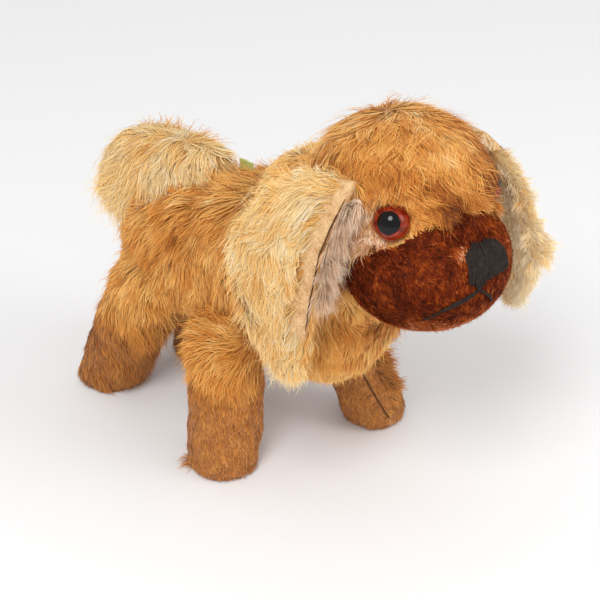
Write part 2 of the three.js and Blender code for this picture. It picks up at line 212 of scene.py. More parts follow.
def strand_material(name, tones, root_shade, sheen=0.08, specular=0.18):
    """Strands: their tone runs along the map's width, and painted shade, darkest at the root and fading
    towards the tip, runs along its height.
    """
    mat, tree, shader = nodes_of(name, roughness=0.55, specular=specular, sheen=sheen)
    uv = node(tree, "ShaderNodeUVMap", uv_map="OFBake")
    split = node(tree, "ShaderNodeSeparateXYZ")
    tree.links.new(uv.outputs[0], split.inputs[0])
    tone = color_ramp(tree, tones, split.outputs["X"])
    # painted shade deep in the pile: the root colour darkens each strand near the skin and fades out towards
    # the tip
    shade = [(0.0, root_shade), (0.4, (232, 226, 220)), (0.8, (255, 255, 255))]
    painted_root_shade = color_ramp(tree, shade, split.outputs["Y"])
    mix = node(tree, "ShaderNodeMix", data_type="RGBA", blend_type="MULTIPLY")
    mix.inputs[MIX_FACTOR].default_value = 1.0
    tree.links.new(tone, mix.inputs[COLOUR_A])
    tree.links.new(painted_root_shade, mix.inputs[COLOUR_B])
    tree.links.new(mix.outputs[COLOUR_OUT], shader.inputs["Base Color"])
    return mat


def object_noise(tree, size_mm, detail=5.0):
    """Noise with features about size_mm across."""
    coordinates = node(tree, "ShaderNodeTexCoord")
    noise = node(tree, "ShaderNodeTexNoise", Scale=1 / (size_mm * MM), Detail=detail, Roughness=0.6)
    tree.links.new(coordinates.outputs["Object"], noise.inputs["Vector"])
    return noise.outputs["Fac"]


def cloth_material(name, dark, light, weave_mm=0.8, patch_mm=9.0, strength=0.35, sheen=0.3):
    """Woven or felted cloth: blotches of two tones under a fine thread bump."""
    mat, tree, shader = nodes_of(name, roughness=0.9, specular=0.2, sheen=sheen)
    fine = object_noise(tree, weave_mm, detail=3.0)
    both = node(tree, "ShaderNodeMix", data_type="FLOAT")
    both.inputs[MIX_FACTOR].default_value = 0.4
    tree.links.new(object_noise(tree, patch_mm), both.inputs[FLOAT_A])
    tree.links.new(fine, both.inputs[FLOAT_B])
    colour = color_ramp(tree, [(0.32, dark), (0.68, light)], both.outputs[FLOAT_OUT])
    tree.links.new(colour, shader.inputs["Base Color"])
    bump = node(tree, "ShaderNodeBump", Strength=strength, Distance=BUMP_DEPTH)
    tree.links.new(fine, bump.inputs["Height"])
    tree.links.new(bump.outputs["Normal"], shader.inputs["Normal"])
    return mat


def plain_material(name, dark, light, size_mm, **look):
    """Two close tones of one hard surface."""
    mat, tree, shader = nodes_of(name, **look)
    colour = color_ramp(tree, [(0.35, dark), (0.65, light)], object_noise(tree, size_mm))
    tree.links.new(colour, shader.inputs["Base Color"])
    return mat


# the last colour given to each is the painted shade at its strands' roots
PILE = strand_material("mohair_pile", MOHAIR_TONES, (168, 142, 122))
PALE_PILE = strand_material("mohair_pale_pile", MOHAIR_TONES, (214, 196, 172))
WORN_PILE = strand_material("mohair_worn_pile", WORN_TONES, (168, 142, 122))
ROSY_PILE = strand_material("mohair_rosy_pile", ROSY_TONES, (184, 156, 138))
NAP = strand_material("felt_nap", FELT_TONES, (190, 170, 160), sheen=0.0, specular=0.06)
BACKING = cloth_material("mohair_backing", (160, 96, 46), (208, 140, 76), weave_mm=0.9)
WORN = cloth_material("worn_mohair", (150, 98, 54), (200, 146, 92), weave_mm=0.8)
PALE_BACKING = cloth_material("pale_backing", (184, 134, 84), (246, 208, 156), weave_mm=1.0, patch_mm=4,
                              strength=0.9, sheen=0.0)
FELT = cloth_material("rust_felt", (88, 28, 6), (150, 62, 18), weave_mm=0.5, patch_mm=14, strength=0.5,
                      sheen=0.0)
THREAD = cloth_material("black_thread", (22, 18, 16), (58, 50, 44), weave_mm=0.5, patch_mm=2, sheen=0.0)
WOOL = cloth_material("wood_wool", (170, 146, 100), (222, 200, 150), weave_mm=0.6, patch_mm=3)
SEAM = cloth_material("brown_thread", (66, 40, 24), (110, 72, 46), weave_mm=0.5, patch_mm=2, sheen=0.0)
CARD = cloth_material("pressed_card", (128, 108, 84), (166, 146, 118), weave_mm=0.5, patch_mm=5)
RIBBON = cloth_material("green_ribbon", (150, 170, 70), (206, 210, 130), weave_mm=0.4, patch_mm=3)
STEEL = plain_material("plain_steel", (120, 118, 114), (176, 174, 170), 1.1, roughness=0.35, specular=0.5,
                       metallic=1.0)
IRIS = plain_material("red_brown_glass", (92, 20, 6), (166, 52, 22), 3.0, roughness=0.12, specular=0.35)
PUPIL = plain_material("black_glass", (4, 3, 3), (9, 7, 7), 3.0, roughness=0.06, specular=0.3)


# ---- meshes -------------------------------------------------------------------------------------------
def to_frame(points):
    """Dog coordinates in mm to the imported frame's metres."""
    return (points + SHIFT) * MM


def to_dog(points):
    return points / MM - SHIFT


def linked(name, mesh):
    """A new object in the scene."""
    obj = bpy.data.objects.new(name, mesh)
    bpy.context.collection.objects.link(obj)
    return obj


def shade_smooth(mesh):
    mesh.polygons.foreach_set("use_smooth", np.ones(len(mesh.polygons), bool))


def new_object(name, vertices, faces, material, smooth=True):
    """A mesh from dog coordinates in mm."""
    mesh = bpy.data.meshes.new(name)
    mesh.from_pydata(to_frame(np.asarray(vertices)).tolist(), [], [tuple(f) for f in faces])
    mesh.materials.append(material)
    if smooth:
        shade_smooth(mesh)
    mesh.update()
    return linked(name, mesh)


def place(obj, body, replaces=()):
    """Hangs a finished piece on its body and hides the CAD nodes that it replaces."""
    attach(obj, body)
    if replaces:
        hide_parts(*replaces)


def read(items, attribute, width=3, kind=float):
    """One attribute of a mesh's vertices, edges or faces, as rows."""
    values = np.empty(len(items) * width, kind)
    items.foreach_get(attribute, values)
    return values.reshape(-1, width)


def surface_of(obj):
    """Vertices and normals in dog mm, triangles and edges."""
    mesh = obj.data
    mesh.calc_loop_triangles()
    return (to_dog(read(mesh.vertices, "co")), unit(read(mesh.vertices, "normal")),
            read(mesh.loop_triangles, "vertices", 3, np.int32), read(mesh.edges, "vertices", 2, np.int32))


def soft_form(name, cad_nodes, voxel=VOXEL):
    """One closed form around several CAD nodes, as an object in the frame; sealed hollows are dropped."""
    vertices, faces, base = [], [], 0
    for n in cad_nodes:
        mesh = frame["nodes"][n].data
        vertices.append(read(mesh.vertices, "co"))
        faces += [tuple(base + i for i in p.vertices) for p in mesh.polygons]
        base += len(mesh.vertices)
    mesh = bpy.data.meshes.new(name)
    mesh.from_pydata(np.concatenate(vertices).tolist(), [], faces)
    obj = linked(name, mesh)
    remesh = obj.modifiers.new("form", "REMESH")
    remesh.mode, remesh.voxel_size = "VOXEL", voxel
    done = bpy.data.meshes.new_from_object(obj.evaluated_get(bpy.context.evaluated_depsgraph_get()))
    bpy.data.objects.remove(obj)
    work = bmesh.new()
    work.from_mesh(done)
    left, islands = set(work.verts), []
    while left:
        island, to_visit = set(), [left.pop()]
        while to_visit:
            v = to_visit.pop()
            island.add(v)
            near = {e.other_vert(v) for e in v.link_edges} & left
            left -= near
            to_visit += near
        islands.append(island)
    outer = max(islands, key=len)
    hollows = [v for island in islands if island is not outer for v in island]
    bmesh.ops.delete(work, geom=hollows, context="VERTS")
    work.to_mesh(done)
    work.free()
    return linked(name, done)


HALF_WAY = 0.5  # how far one round of smoothing moves a vertex towards its neighbours' mean


def relax(obj, rounds, weight=None, swell=0.0):
    """Smooths the form, each vertex as much as its weight, then swells it a little along its normals."""
    points, _, _, edges = surface_of(obj)
    weight = np.ones(len(points)) if weight is None else weight(points)
    count = np.bincount(edges.ravel(), minlength=len(points))[:, None]
    for _ in range(rounds):
        total = np.zeros_like(points)
        for k in range(3):
            total[:, k] += np.bincount(edges[:, 0], points[edges[:, 1], k], len(points))
            total[:, k] += np.bincount(edges[:, 1], points[edges[:, 0], k], len(points))
        points += (total / count - points) * HALF_WAY * weight[:, None]
    move_vertices(obj, points)
    move_vertices(obj, points + surface_of(obj)[1] * swell)


def move_vertices(obj, points):
    obj.data.vertices.foreach_set("co", to_frame(points).ravel())
    obj.data.update()


def cut_panels(obj, names, group_of, material_of):
    """Cuts a form into one open panel per name; group_of gives each face centre's panel number."""
    group = group_of(to_dog(read(obj.data.polygons, "center")))
    faces = [tuple(p.vertices) for p in obj.data.polygons]
    points = surface_of(obj)[0]
    panels = {}
    for k, name in enumerate(names):
        mine = [f for f, g in zip(faces, group) if g == k]
        used = sorted({i for f in mine for i in f})
        index = {v: i for i, v in enumerate(used)}
        mine = [[index[i] for i in f] for f in mine]
        panels[name] = new_object(name, points[used], mine, material_of(name))
    bpy.data.objects.remove(obj)
    return panels


def search_tree(points):
    """Finds the nearest of some points."""
    tree = kdtree.KDTree(len(points))
    for i, point in enumerate(points):
        tree.insert(point, i)
    tree.balance()
    return tree


def nearest_group(groups):
    """Gives points the number of the group whose CAD nodes lie nearest."""
    owner, centres = [], []
    for i, cad_nodes in enumerate(groups):
        for n in cad_nodes:
            centres += [p.center for p in frame["nodes"][n].data.polygons]
            owner += [i] * len(frame["nodes"][n].data.polygons)
    tree = search_tree(centres)
    return lambda points: np.array([owner[tree.find(to_frame(p))[1]] for p in points])


# ---- strands ------------------------------------------------------------------------------------------
BARE_SHARE = 0.02  # weight of a triangle with a bare middle, so that a bare place has no stepped edge
LENGTH_SPREAD, LIFT_SPREAD, TWIST = (0.72, 1.15), (0.7, 1.3), 0.6
STRAY_LENGTH, STRAY_LIFT, STRAY_WIDTH = 1.3, 1.9, 0.6  # of a stray, against its neighbours
MAX_LIFT = 0.95
SETTLE = 0.35  # how far a strand's rise flattens towards its tip
CURL_SIZE, CURL_SEED = 14, 91  # neighbours within about this many mm bend alike
CURL = 4.0  # how far the bend turns along a strand, in radians
LOCK_STRANDS = 0.7  # strands in a lock for each square mm of its size
MIN_LOCKS = 20
GATHER_REACH = 2.2  # a strand joins its lock when the two tips are within this many lock sizes
GATHER_SPREAD, GATHER_LATE = (0.5, 1.1), 1.6  # GATHER_LATE above 1 gathers the tips more than the roots
TONE_STEP = 0.012  # half the width that one strand takes on the tone map
TAPER_AT, TAPER = [0, 0.15, 0.6, 1], [0.8, 1.0, 0.8, 0.0]  # places along a strand and its width there


def scatter(surface, count, keep=None):
    """Random points over a surface, with their normals; keep says which stay, or how thickly they lie."""
    points, normals, tri, _ = surface
    a, b, c = points[tri[:, 0]], points[tri[:, 1]], points[tri[:, 2]]
    area = np.linalg.norm(np.cross(b - a, c - a), axis=1)
    if keep is not None:
        area = area * (BARE_SHARE + keep((a + b + c) / 3))
    pick = rng.choice(len(tri), count, p=area / area.sum())
    u, v = rng.random((2, count))
    flip = u + v > 1
    u, v = np.where(flip, 1 - u, u), np.where(flip, 1 - v, v)
    w = np.stack([1 - u - v, u, v], 1)[..., None]
    p = (points[tri[pick]] * w).sum(1)
    n = unit((normals[tri[pick]] * w).sum(1))
    if keep is not None:
        stay = keep(p) > 0
        p, n = p[stay], n[stay]
    return p, n


def strand_mesh(name, path, normals, width, twist, tone, material):
    """One mesh of strands along their paths (count x steps x 3): flat ribbons that end in a point."""
    count, segments = len(path), path.shape[1] - 1
    along = unit(np.gradient(path, axis=1))
    edge = unit(np.cross(along, normals[:, None] + 0 * along))
    edge = unit(edge * np.cos(twist) + normals[:, None] * np.sin(twist))
    taper = np.interp(np.linspace(0, 1, segments + 1), TAPER_AT, TAPER)[None, :, None]
    half = edge * width[:, None, None] * taper * 0.5
    ring = np.stack([path[:, :-1] - half[:, :-1], path[:, :-1] + half[:, :-1]], 2).reshape(count, -1, 3)
    points = np.concatenate([ring, path[:, -1:]], 1)
    size = segments * 2 + 1
    base = (np.arange(count) * size)[:, None]
    quads = np.array([[2 * i, 2 * i + 1, 2 * i + 3, 2 * i + 2] for i in range(segments - 1)]).reshape(1, -1)
    tip = np.array([[2 * segments - 2, 2 * segments - 1, 2 * segments]])
    loops = np.concatenate([base + quads, base + tip], 1).ravel()
    sides = np.tile(np.array([4] * (segments - 1) + [3]), count)
    mesh = bpy.data.meshes.new(name)
    mesh.vertices.add(count * size)
    mesh.vertices.foreach_set("co", to_frame(points.reshape(-1, 3)).ravel())
    mesh.loops.add(len(loops))
    mesh.loops.foreach_set("vertex_index", loops)
    mesh.polygons.add(len(sides))
    mesh.polygons.foreach_set("loop_start", np.concatenate([[0], np.cumsum(sides)[:-1]]))
    shade_smooth(mesh)
    up = np.linspace(0.02, 0.98, segments + 1)
    map_up = np.broadcast_to(np.concatenate([np.repeat(up[:-1], 2), up[-1:]]), (count, size)).ravel()
    step = np.concatenate([np.tile([-TONE_STEP, TONE_STEP], segments), [0.0]])
    map_tone = np.clip(tone[:, None] + step[None], 0.002, 0.998).ravel()
    strand_map = mesh.uv_layers.new(name="OFBake")
    strand_map.data.foreach_set("uv", np.stack([map_tone[loops], map_up[loops]], 1).ravel())
    mesh.materials.append(material)
    mesh.update()
    mesh.validate()
    return linked(name, mesh)


def strands(name, roots, normals, flow, length, tone, lift=0.3, width=0.45, segments=3, lock_mm=5.0,
            pull=0.5, wavy=0.12, droop=0.12, messy=0.22, loose=0.06, material=PILE, contrast=0.06):
    """Tapered strands as one mesh: each leans along flow, gathers into its lock and thins to a point.

    length and width are in mm, lift is the sine of the angle off the skin, and tone is the place on the
    material's tones, 0 dark and 1 light. lock_mm is a lock's size and pull how far its strands gather.
    wavy, droop and messy bend the strands, loose is the share of strays, contrast the spread of tones.
    """
    count = len(roots)
    each = lambda v: np.broadcast_to(np.asarray(v, float), count)
    stray = rng.random(count) < loose
    length = each(length) * rng.uniform(*LENGTH_SPREAD, count) * np.where(stray, STRAY_LENGTH, 1)
    lift = each(lift) * rng.uniform(*LIFT_SPREAD, count) * np.where(stray, STRAY_LIFT, 1)
    flow = unit(flow - normals * (flow * normals).sum(1, keepdims=True))
    across = np.cross(flow, normals)
    flow = unit(flow + across * rng.normal(0, messy, (count, 1)))
    s = np.linspace(0, 1, segments + 1)[None, :, None]
    reach, rise = length[:, None, None], np.minimum(lift, MAX_LIFT)[:, None, None]
    path = roots[:, None] + reach * (flow[:, None] * s * np.sqrt(1 - rise ** 2)
                                     + normals[:, None] * rise * (s - SETTLE * s * s))
    path = path + DOWN * droop * reach * s * s
    phase = wave(roots, CURL_SIZE, CURL_SEED)[:, None, None] * 3 + rng.uniform(-0.8, 0.8, (count, 1, 1))
    path = path + across[:, None] * wavy * reach * s * np.sin(phase + CURL * s)
    # every strand but the strays bends towards the strand at the middle of its lock
    locks = max(MIN_LOCKS, int(count / (1.0 + lock_mm ** 2 * LOCK_STRANDS)))
    leaders = rng.choice(count, locks, replace=False)
    tree = search_tree(roots[leaders])
    lock = np.array([tree.find(r)[1] for r in roots])
    lead = path[leaders[lock]]
    near = np.linalg.norm(lead[:, -1] - path[:, -1], axis=1) < lock_mm * GATHER_REACH
    gather = pull * rng.uniform(*GATHER_SPREAD, (count, 1, 1)) * (near & ~stray)[:, None, None]
    path = path + (lead - path) * (gather * s ** GATHER_LATE)
    path = np.clip(path, ROOM_LOW, ROOM_HIGH)
    lock_tone = rng.normal(0, contrast, locks)[lock]
    tone = np.clip(each(tone) + lock_tone + rng.normal(0, contrast, count), 0.02, 0.98)
    twist = rng.uniform(-TWIST, TWIST, (count, 1, 1))
    width = each(width) * np.where(stray, STRAY_WIDTH, 1)
    return strand_mesh(name, path, normals, width, twist, tone, material)


def rings(count, sides):
    """Faces of a closed tube: count rings of vertices joined side by side, and a cap at each end."""
    faces = []
    for i in range(count - 1):
        low, high = i * sides, (i + 1) * sides
        faces += [(low + k, low + (k + 1) % sides, high + (k + 1) % sides, high + k) for k in range(sides)]
    return faces + [tuple(range(sides))[::-1], tuple((count - 1) * sides + k for k in range(sides))]


def tube(path, radius, sides=6):
    """Vertices and faces of a round thread along a path, thinner at its two ends."""
    path = np.asarray(path, float)
    along = unit(np.gradient(path, axis=0))
    a = unit(np.cross(along, [0.31, 0.17, 0.94]))
    b = np.cross(along, a)
    turn = np.linspace(0, 2 * math.pi, sides, endpoint=False)
    r = radius * np.interp(np.linspace(0, 1, len(path)), [0, 0.12, 0.88, 1], [0.45, 1, 1, 0.45])
    ring = path[:, None] + r[:, None, None] * (a[:, None] * np.cos(turn)[None, :, None]
                                               + b[:, None] * np.sin(turn)[None, :, None])
    return ring.reshape(-1, 3), rings(len(path), sides)


def threads(name, paths, radius, material):
    """Many round threads as one mesh."""
    vertices, faces, base = [], [], 0
    for path in paths:
        v, f = tube(path, radius)
        vertices.append(v)
        faces += [[base + i for i in face] for face in f]
        base += len(v)
    return new_object(name, np.concatenate(vertices), faces, material)


# ---- stage --------------------------------------------------------------------------------------------
AZIMUTH, ELEVATION, DISTANCE = math.radians(46), math.radians(32), 0.85
SENSOR, LENS = 36, 115.77
SLIDE = (-1 / 50, 1 / 75)  # how far the view is slid right and up, as a share of its width
TARGET = to_frame(np.array([0, -10, 75]))
to_camera = Vector((-math.sin(AZIMUTH) * math.cos(ELEVATION), -math.cos(AZIMUTH) * math.cos(ELEVATION),
                    math.sin(ELEVATION)))
camera = linked("camera", bpy.data.cameras.new("camera"))
camera.location = Vector(TARGET) + to_camera * DISTANCE
camera.rotation_euler = to_camera.to_track_quat("Z", "Y").to_euler()
camera.data.sensor_width = SENSOR
camera.data.lens = LENS
camera.data.shift_x, camera.data.shift_y = SLIDE
bpy.context.scene.camera = camera
bpy.context.scene.view_settings.view_transform = "Standard"

FLOOR_COLOUR = (0.9, 0.9, 0.905, 1)
FLOOR_HALF = 4000  # mm
WORLD_STRENGTH = 0.66
floor_mat, _, floor_shader = nodes_of("pale_floor", roughness=0.9, specular=0.1)
floor_shader.inputs["Base Color"].default_value = FLOOR_COLOUR
corners = [(x * FLOOR_HALF, y * FLOOR_HALF, 0) for x, y in ((-1, -1), (1, -1), (1, 1), (-1, 1))]
floor = new_object("floor", corners, [(0, 1, 2, 3)], floor_mat, smooth=False)

world = bpy.data.worlds.new("studio")
world.use_nodes = True
world.node_tree.nodes["Background"].inputs["Color"].default_value = (1.0, 1.0, 1.0, 1)
world.node_tree.nodes["Background"].inputs["Strength"].default_value = WORLD_STRENGTH
bpy.context.scene.world = world


def area_light(name, at, size, power):
    """A round light in metres and watts that faces the dog."""
    data = bpy.data.lights.new(name, "AREA")
    data.shape, data.size, data.energy = "DISK", size, power
    light = linked(name, data)
    light.location = at
    light.rotation_euler = (Vector(at) - Vector((0, -0.02, 0.1))).to_track_quat("Z", "Y").to_euler()


area_light("key", (-0.9, -0.5, 1.3), size=0.7, power=13)
area_light("fill", (0.5, -1.2, 0.9), size=0.9, power=6)

# ---- body and legs ------------------------------------------------------------------------------------
LEG_SEAM = {"wide": 1.1, "deep": 0.9, "reach": 26}
SOLE_HEIGHT = 0.25


def on_leg(p):
    """0 on the body, 1 on the lower leg."""
    return ramp(p[:, 2], 62, 40)


def leg_axis(name, z):
    """Middle of a leg at height z."""
    (fx, fy), (tx, ty, tz) = LEGS[name]
    return np.stack([fx + (tx - fx) * z / tz, fy + (ty - fy) * z / tz], -1)


stuffed = [name for name in BODIES["body"] if not name.endswith(("sole", "insole", "ribbon"))]
body_form = soft_form("body_form", stuffed)
relax(body_form, BODY_ROUNDS, lambda p: 1 - 0.9 * on_leg(p), swell=0.8)
points, normals, _, _ = surface_of(body_form)
points = points + normals * (0.9 * wave(points, 30, 5) + 0.4 * wave(points, 12, 6))[:, None]
for name in LEGS:  # the seam down the front and back of each leg
    off = points[:, :2] - leg_axis(name, points[:, 2])
    seam = np.exp(-(off[:, 0] / LEG_SEAM["wide"]) ** 2) * (np.abs(off[:, 1]) < LEG_SEAM["reach"])
    points[:, :2] -= unit(off) * (seam * on_leg(points))[:, None] * LEG_SEAM["deep"]
points[:, 2] = np.maximum(points[:, 2], SOLE_HEIGHT)
move_vertices(body_form, points)
body_surface = surface_of(body_form)
PANELS = {f"mohair_side_{side}": [f"body_side_{side}"] + [f"leg_{n}_outer" for n in LEGS if n.endswith(side)]
          for side, _ in SIDES}
PANELS["mohair_gusset"] = ["belly_gusset"] + [f"leg_{n}_inner" for n in LEGS]
panels = cut_panels(body_form, list(PANELS), nearest_group(PANELS.values()), lambda name: BACKING)
for name, panel in panels.items():
    place(panel, "body", PANELS[name])


def body_flow(p, n):
    """Hair runs back along the top and down the sides, forward and down on the chest, down the legs."""
    side = np.abs(n[:, 0:1])
    chest = ramp(p[:, 1], -10, -40)[:, None]
    f = REAR * (0.9 - 0.6 * side) * (1 - 1.4 * chest) + DOWN * (0.4 + 0.9 * side)
    f = f + swirl(p, 40, 11, 0.7) + swirl(p, 14, 17, 0.35)
    down_leg = DOWN * 1.2 - REAR * 0.25 * ramp(p[:, 1:2], 40, 60) + swirl(p, 26, 14, 0.2)
    leg = on_leg(p)[:, None]
    return f * (1 - leg) + down_leg * leg


def body_tone(p):
    """Lighter on the nape, darker and more even on the worn legs."""
    nape = ramp(p[:, 2], 112, 134) * ramp(p[:, 1], -50, -20)
    chest = ramp(p[:, 1], -20, -45) * ramp(p[:, 2], 100, 60)
    leg = on_leg(p)
    rear_leg = leg * ramp(p[:, 1], 40, 60)
    patches = 0.07 * wave(p, 34, 21) + 0.05 * wave(p, 12, 24) * (1 + rear_leg)
    return 0.49 + patches * (1 - 0.5 * leg) + 0.15 * nape + 0.04 * chest - 0.16 * leg


def off_tail(p):
    """Distance past the tail, which tapers from its root to its tip; below 0 inside it."""
    line = TAIL[1] - TAIL[0]
    along = np.clip((p - TAIL[0]) @ line / (line ** 2).sum(), 0, 1)[:, None]
    return np.linalg.norm(p - TAIL[0] - along * line, axis=1) - (20 - 12 * along[:, 0])


def off_neck(p):
    """Distance past the bare patch round the neck joint; below 0 inside it."""
    return np.linalg.norm(p - NECK, axis=1) - NECK_BARE


for side, sign in SIDES:
    keep = lambda p: ((p[:, 0] * sign >= 0) & (off_tail(p) > -2) & (off_neck(p) > 0)) * ramp(p[:, 2], 50, 56)
    p, n = scatter(body_surface, BODY_HAIRS, keep)
    length = (11 + 2 * wave(p, 22, 31)) * (1 - 0.5 * on_leg(p)) * (1 - 0.4 * ramp(n[:, 2], 0, -0.7))
    saddle = ramp(n[:, 2], 0.3, 0.8) * ramp(p[:, 1], 8, 24) * ramp(p[:, 1], 62, 48)
    throat = ramp(off_neck(p), 12, 0) * ramp(p[:, 1], -45, -60)  # short where the turning head sweeps
    length = (length + 4 * saddle) * (1 - 0.6 * throat)
    fur = strands(f"pile_body_{side}", p, n, body_flow(p, n), length, body_tone(p),
                  lift=0.27 + 0.25 * saddle, width=0.5, lock_mm=5.5, pull=0.45)
    place(fur, "body")

SEAM_FACING = np.array([-0.55, -0.835])  # the way the open seam of the front left leg faces
SEAM_ACROSS = np.array([-SEAM_FACING[1], SEAM_FACING[0]])


def beside_seam(p):
    """Signed distance from that seam, which slants a little down the leg; far away behind the leg."""
    off = p[:, :2] - leg_axis("front_left", p[:, 2])
    across = off[:, 0] * SEAM_ACROSS[0] + off[:, 1] * SEAM_ACROSS[1]
    facing = (off @ SEAM_FACING > 4) & (np.abs(off).max(axis=1) < 20)
    return np.where(facing, across - 2.2 - (20 - p[:, 2]) * 0.14, 50)


keep = lambda p: ramp(p[:, 2], 64, 54) * (p[:, 2] > 1.5) * (np.abs(beside_seam(p)) > 0.4)
p, n = scatter(body_surface, LEG_HAIRS, keep)
rear = ramp(p[:, 1], 45, 60)
front_edge = ramp(n[:, 1], -0.2, -0.8) * rear
beside = beside_seam(p)
tuft = ramp(np.abs(beside - 9), 5, 1) * ramp(p[:, 2], 10, 30)  # stands off beside the open seam
length = 3.2 + 1.6 * rear + 5.5 * ramp(p[:, 2], 36, 58) + 9 * front_edge + 8 * tuft
length = length * (1 + 0.12 * wave(p, 12, 33))
parted = (np.sign(beside) * np.exp(-(beside / 6) ** 2))[:, None] * np.append(SEAM_ACROSS, 0)
worn = rng.random(len(p)) < 0.65 * ramp(p[:, 2], 58, 34)
flow = body_flow(p, n) + parted * 1.2 + tuft[:, None] * np.array([1.2, -1.0, 0.9])
lift = 0.24 + 0.4 * tuft
tone = body_tone(p) + 0.03
for name, mine, material in (("pile_legs", ~worn, PILE), ("pile_legs_worn", worn, WORN_PILE)):
    fur = strands(name, p[mine], n[mine], flow[mine], length[mine], tone[mine], lift=lift[mine], width=0.36,
                  segments=2, lock_mm=3.5, pull=0.3, messy=0.25, loose=0.03, contrast=0.035,
                  material=material)
    place(fur, "body")


def seam_along(points, distance, levels):
    """A path through the surface points nearest to a line, one mean for each height in levels, smoothed."""
    path = []
    for low, high in zip(levels[1:], levels):
        mine = np.flatnonzero((points[:, 2] > low) & (points[:, 2] <= high))
        path.append(points[mine[np.argsort(distance[mine])[:6]]].mean(0))
    return np.array([np.mean(path[max(i - 1, 0):i + 2], axis=0) for i in range(len(path))])


# torn pile at the rim of the right front foot
rim = body_surface[0][np.argmin(np.linalg.norm(body_surface[0] - TORN_RIM, axis=1))]
at = rim + rng.normal(0, 1.6, (TUFT_HAIRS, 3))
up = unit(rng.normal(0, 0.4, at.shape) + (0, 0, 1))
outward = np.tile((-0.6, 0.6, 0.1), (TUFT_HAIRS, 1))
fur = strands("foot_tuft", at, up, outward, 8, 0.38, lift=0.2, width=0.36, segments=2, lock_mm=3, wavy=0.4)
place(fur, "body")

path = seam_along(body_surface[0], np.abs(beside_seam(body_surface[0])), np.arange(40, 2, -3))
path[:, :2] += SEAM_FACING * 0.7
place(threads("leg_seam", [path], LEG_THREAD_R, SEAM), "body")

# ---- head ---------------------------------------------------------------------------------------------
head_form = soft_form("head_form", [n for n in BODIES["head"] if not n.startswith(("eye", "nose", "mouth"))])
relax(head_form, FORM_ROUNDS, swell=0.4)
head_surface = surface_of(head_form)


def felt_share(p):
    """Above 0 on the felt: the muzzle where it stands out of the cranium, and a little way up the brow.

    It grows by about 1 for each mm away from the felt's edge.
    """
    h = to_head(p)
    outside = (np.linalg.norm((h - CRANIUM) / CRANIUM_R, axis=1) - 1) * CRANIUM_SIZE
    off_muzzle = (np.linalg.norm((h - MUZZLE) / MUZZLE_R, axis=1) - 1) * MUZZLE_SIZE
    brow = 10 * ramp(h[:, 1], -20, -30) * (1 - np.abs(h[:, 0]) / 32)
    below_ear = 8 * ramp(h[:, 1], -8, 4)
    return outside - off_muzzle + brow - below_ear


skins = cut_panels(head_form, ["head_skin", "muzzle_skin"], lambda c: (felt_share(c) > 0).astype(int),
                   lambda name: FELT if name == "muzzle_skin" else BACKING)
place(skins["head_skin"], "head", ["head_gusset", "head_side_left", "head_side_right"])
place(skins["muzzle_skin"], "head", ["muzzle_felt"])


def near_eye(h):
    """Distance to the nearer eye's centre."""
    return np.min([np.linalg.norm(h - EYE_OUT * (s, 1, 1), axis=1) for s in (-1, 1)], axis=0)


def above_neck(p):
    """Above 0 on the head's side of the joint."""
    return (p - NECK) @ np.array(JOINTS["head_swivel"]["axis"]) - 1.0


def head_flow(h, hn):
    """Hair runs out from the whorl over the crown, falls over the brow and hangs down the cheeks."""
    falls = ramp(hn[:, 2:3], 0.85, 0.1)
    from_whorl = unit((h - [0, 14, 0]) * (1, 1, 0))
    f = from_whorl * (1.1 - 0.5 * falls) + DOWN * (0.1 + 1.0 * falls)
    f = f + swirl(h, 34, 41, 0.55) + swirl(h, 15, 48, 0.4)
    f += OUT * 1.3 * np.exp(-((h - [17, -25, 14]) ** 2).sum(1) / 8 ** 2)[:, None]
    cheek = (ramp(np.abs(h[:, 0]), 24, 31) * ramp(h[:, 2], 12, 0))[:, None]
    return f * (1 - cheek) + (DOWN + REAR * 0.35 + swirl(h, 14, 44, 0.5)) * cheek


def head_tone(h):
    """Darker on the brow, which is painted shade, and at the temples, mixed on the cheeks."""
    brow = ramp(h[:, 1], -8, -24) * ramp(h[:, 2], 5, 15) * ramp(h[:, 2], 34, 24)
    cheek = ramp(np.abs(h[:, 0]), 22, 30) * ramp(h[:, 2], 16, 4)
    temple = np.exp(-((np.abs(h) - [26, 6, 22]) ** 2).sum(1) / 12 ** 2)
    # painted shade: the brow's fur is painted darker
    return (0.56 - 0.32 * brow * (1 + 0.5 * wave(h, 14, 50)) + cheek * 0.1 * wave(h, 6, 51) - 0.22 * temple
            + 0.07 * wave(h, 20, 52))


def clear_of_eyes(p):
    return near_eye(to_head(p)) > EYE_R + EYE_BARE


keep = lambda p: ((felt_share(p) < -0.4) & clear_of_eyes(p) & (above_neck(p) > 0)).astype(float)
p, n = scatter(head_surface, HEAD_HAIRS, keep)
h, hn = to_head(p), unturned(n)
top = ramp(hn[:, 2], 0.2, 0.8)
edge_of_felt = ramp(felt_share(p), 0, -8)
round_eye = np.where(h[:, 0] < 0, ramp(near_eye(h), 8, 22), ramp(near_eye(h), 4, 9))
nape = ramp(h[:, 1], 12, 26) * ramp(h[:, 2], -5, 10)
length = (11.5 + top + 4 * nape + 2 * wave(p, 18, 61)) * (0.2 + 0.8 * round_eye) * (0.7 + 0.3 * edge_of_felt)
cheek = ramp(np.abs(h[:, 0]), 21, 27) * ramp(h[:, 2], 27, 14) * ramp(h[:, 1], 12, 0)
rosy = rng.random(len(p)) < 0.9 * cheek
flow = turned(head_flow(h, hn))
head_pile = (("pile_head", ~rosy, "mohair_golden", PILE, 0.07),
             ("pile_cheeks", rosy, "mohair_worn", ROSY_PILE, 0.12))
for name, mine, slot, material, contrast in head_pile:
    fur = strands(name, p[mine], n[mine], flow[mine], length[mine], head_tone(h[mine]), lift=0.25, width=0.5,
                  lock_mm=6, wavy=0.3, material=material, contrast=contrast)
    place(fur, "head")

